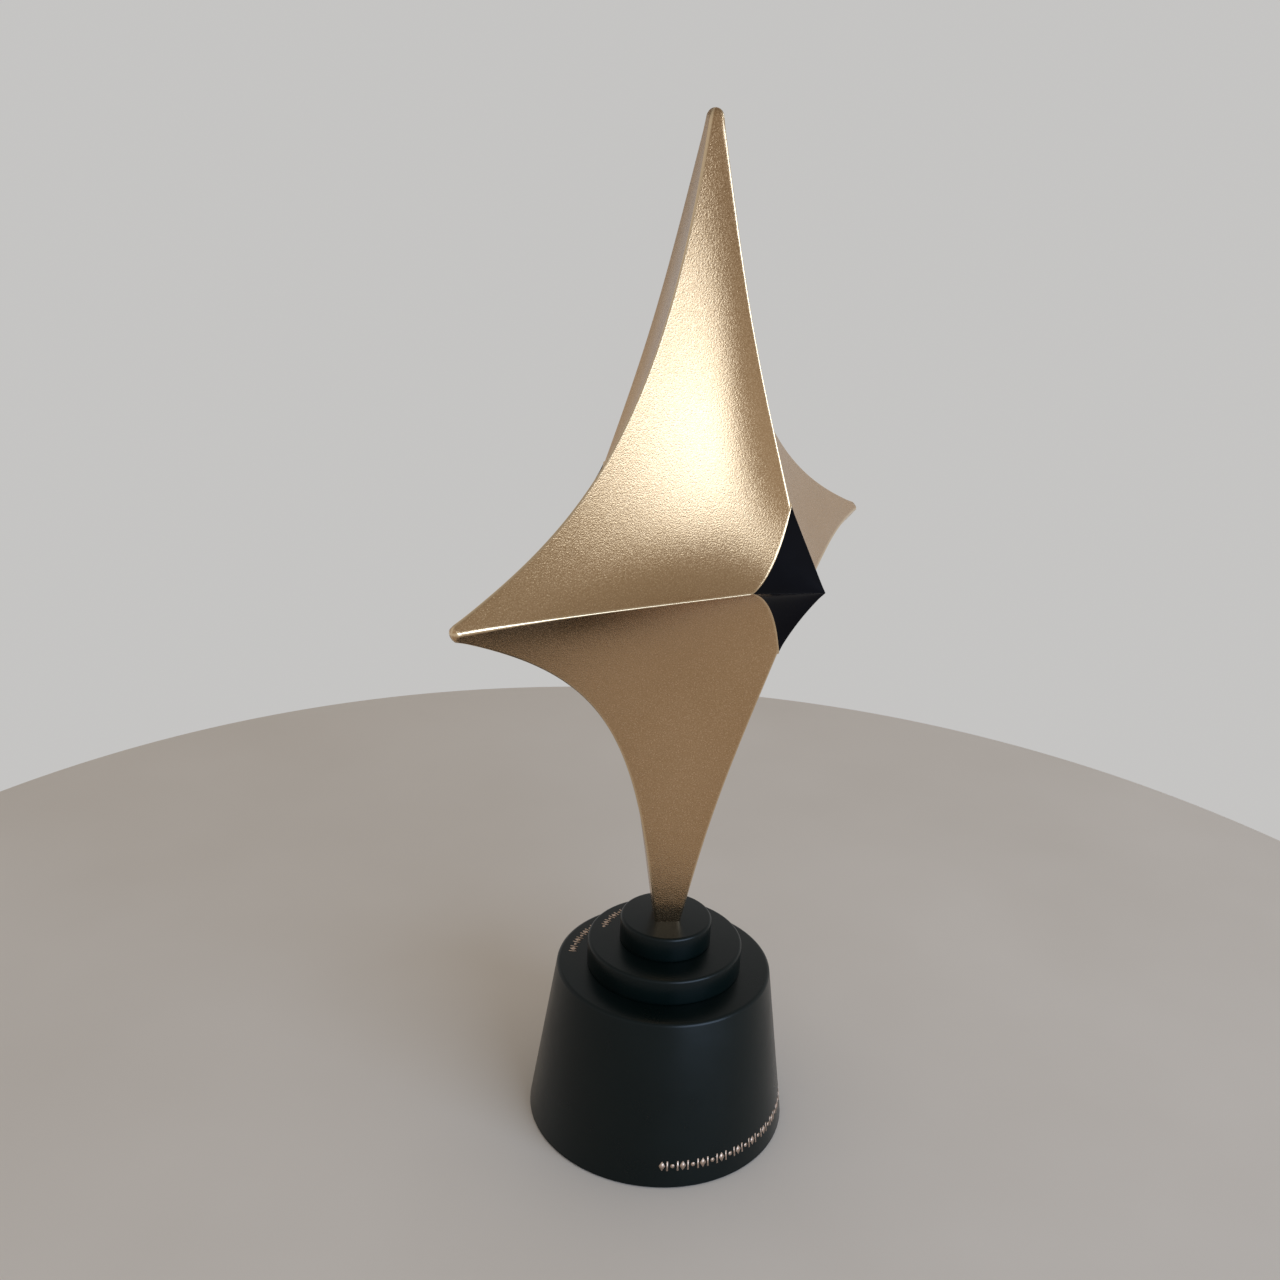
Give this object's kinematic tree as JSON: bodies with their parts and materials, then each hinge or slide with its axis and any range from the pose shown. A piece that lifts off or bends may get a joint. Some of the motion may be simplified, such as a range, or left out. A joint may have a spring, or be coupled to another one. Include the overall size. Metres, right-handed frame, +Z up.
{
  "type": "star trophy",
  "caption": "Award with a hollow gold star whose front and back points are black, on a black round plinth in three steps, held by a tie stud.",
  "frame": {"origin": "middle of the plinth's underside, on the face of the soft pad", "axes": "+Z up through the star's upper point, front of the star faces -Y, side points along X"},
  "size_m": [0.1796, 0.0894, 0.3],
  "materials": {
    "gold_finish": "fine blasted satin gold with polished edges",
    "black_gloss": "gloss black",
    "black_lacquer": "satin black lacquer",
    "plain_steel": "zinc plated",
    "dowel_wood": "raw beech",
    "pad_foam": "matte foam sheet"
  },
  "bodies": {
    "root": {"base_pad": "pad_foam", "base_block": "black_lacquer", "middle_step": "black_lacquer", "top_step": "black_lacquer", "ballast_plate": "plain_steel", "middle_step_dowels": "dowel_wood", "top_step_dowels": "dowel_wood", "tie_stud": "plain_steel", "foot_nut": "plain_steel", "stud_nut": "plain_steel", "stud_spring_washer": "plain_steel", "stud_washer": "plain_steel", "star_front_shell": "gold_finish", "star_back_shell": "gold_finish", "shell_dowels": "plain_steel", "front_cap": "black_gloss", "back_cap": "black_gloss", "front_cap_screw": "plain_steel", "back_cap_screw": "plain_steel", "front_cap_washer": "plain_steel", "back_cap_washer": "plain_steel"}
  },
  "joints": []
}
